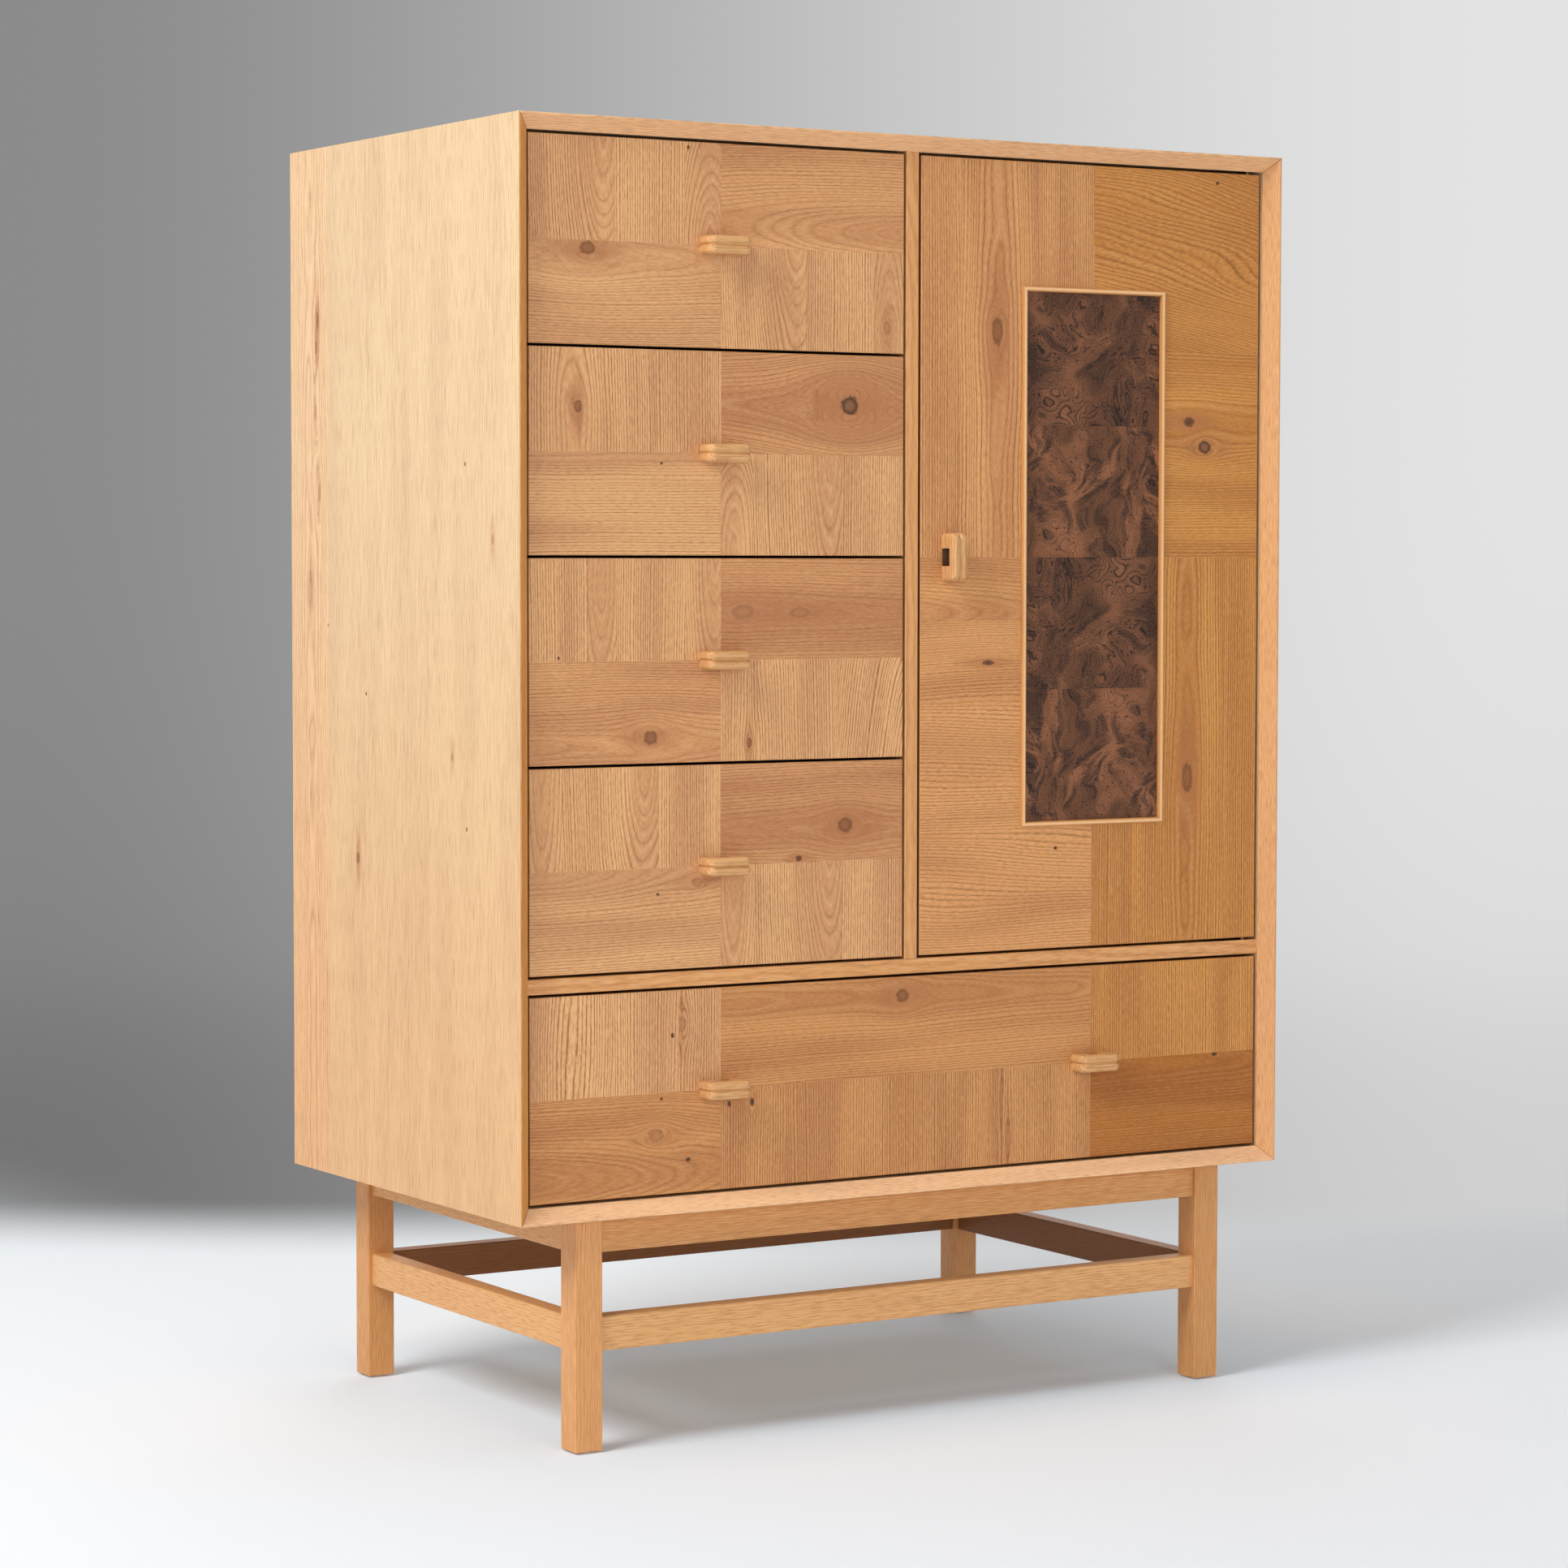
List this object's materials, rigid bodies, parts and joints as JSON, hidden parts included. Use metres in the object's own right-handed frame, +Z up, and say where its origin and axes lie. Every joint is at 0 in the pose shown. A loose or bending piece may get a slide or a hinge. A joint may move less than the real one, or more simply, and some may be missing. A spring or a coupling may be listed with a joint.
{
  "type": "chifforobe",
  "caption": "Oak chifforobe on a legged base: a stack of drawers beside a door with a burl inlay, and a wide drawer below, all with carved finger pulls.",
  "frame": {"origin": "middle of the bounding box on the floor", "axes": "+Z up; the drawers and the door face -Y; +X to the right seen from the front"},
  "size_m": [0.965, 0.5516, 1.374],
  "materials": {
    "oak_case": "pale satin oak veneer, straight grain",
    "oak_lipping": "satin solid oak edge",
    "oak_solid": "satin solid oak",
    "oak_checker_veneer": "satin knotty oak veneer, quarters with crossed grain",
    "oak_shelf": "satin oak veneer",
    "oak_pull": "smooth satin oak",
    "oak_moulding": "smooth satin oak",
    "burl_veneer": "satin dark burl veneer",
    "back_board": "veneered board",
    "drawer_box_wood": "lacquered solid wood",
    "drawer_bottom_ply": "plywood",
    "beech_hidden": "plain beech",
    "slide_steel": "zinc plated",
    "screw_steel": "zinc plated",
    "plated_steel": "nickel plated",
    "hinge_brass": "satin",
    "catch_plastic": "brown moulded",
    "glide_nylon": "dark nylon"
  },
  "bodies": {
    "case": {"adjustable_shelves": "oak_shelf", "back_apron": "oak_solid", "back_stretcher": "oak_solid", "base_cleats": "beech_hidden", "base_screws": "screw_steel", "case_back": "back_board", "case_bottom": "oak_case", "case_hinge_leaves": "hinge_brass", "case_joinery": "beech_hidden", "case_left_side": "oak_case", "case_right_side": "oak_case", "case_slides": "slide_steel", "case_top": "oak_case", "door_catch": "catch_plastic", "foot_glides": "glide_nylon", "front_apron": "oak_solid", "front_stretcher": "oak_solid", "horizontal_divider": "oak_lipping", "left_apron": "oak_solid", "left_stretcher": "oak_solid", "leg_back_left": "oak_solid", "leg_back_right": "oak_solid", "leg_front_left": "oak_solid", "leg_front_right": "oak_solid", "right_apron": "oak_solid", "right_stretcher": "oak_solid", "shelf_pins": "plated_steel", "vertical_partition": "oak_lipping"},
    "door": {"burl_inlay": "burl_veneer", "door_hinge_leaves": "hinge_brass", "door_panel": "oak_checker_veneer", "door_pull": "oak_pull", "door_screws": "screw_steel", "door_strike": "plated_steel", "inlay_moulding": "oak_moulding"},
    "drawer_1": {"drawer_1_bottom": "drawer_bottom_ply", "drawer_1_box": "drawer_box_wood", "drawer_1_front": "oak_checker_veneer", "drawer_1_hardware": "slide_steel", "drawer_1_pull": "oak_pull"},
    "drawer_2": {"drawer_2_bottom": "drawer_bottom_ply", "drawer_2_box": "drawer_box_wood", "drawer_2_front": "oak_checker_veneer", "drawer_2_hardware": "slide_steel", "drawer_2_pull": "oak_pull"},
    "drawer_3": {"drawer_3_bottom": "drawer_bottom_ply", "drawer_3_box": "drawer_box_wood", "drawer_3_front": "oak_checker_veneer", "drawer_3_hardware": "slide_steel", "drawer_3_pull": "oak_pull"},
    "drawer_4": {"drawer_4_bottom": "drawer_bottom_ply", "drawer_4_box": "drawer_box_wood", "drawer_4_front": "oak_checker_veneer", "drawer_4_hardware": "slide_steel", "drawer_4_pull": "oak_pull"},
    "wide_drawer": {"wide_drawer_bottom": "drawer_bottom_ply", "wide_drawer_box": "drawer_box_wood", "wide_drawer_front": "oak_checker_veneer", "wide_drawer_hardware": "slide_steel", "wide_drawer_pull": "oak_pull"}
  },
  "joints": [
    {"name": "drawer_1_slide", "type": "slide", "parent": "case", "child": "drawer_1", "axis": [0, -1, 0], "range_m": [0, 0.35]},
    {"name": "drawer_2_slide", "type": "slide", "parent": "case", "child": "drawer_2", "axis": [0, -1, 0], "range_m": [0, 0.35]},
    {"name": "drawer_3_slide", "type": "slide", "parent": "case", "child": "drawer_3", "axis": [0, -1, 0], "range_m": [0, 0.35]},
    {"name": "drawer_4_slide", "type": "slide", "parent": "case", "child": "drawer_4", "axis": [0, -1, 0], "range_m": [0, 0.35]},
    {"name": "wide_drawer_slide", "type": "slide", "parent": "case", "child": "wide_drawer", "axis": [0, -1, 0], "range_m": [0, 0.35]},
    {"name": "door_hinge", "type": "hinge", "parent": "case", "child": "door", "pos_m": [0.4495, -0.24825, 0.498], "axis": [0, 0, 1], "range_deg": [0, 110]}
  ]
}
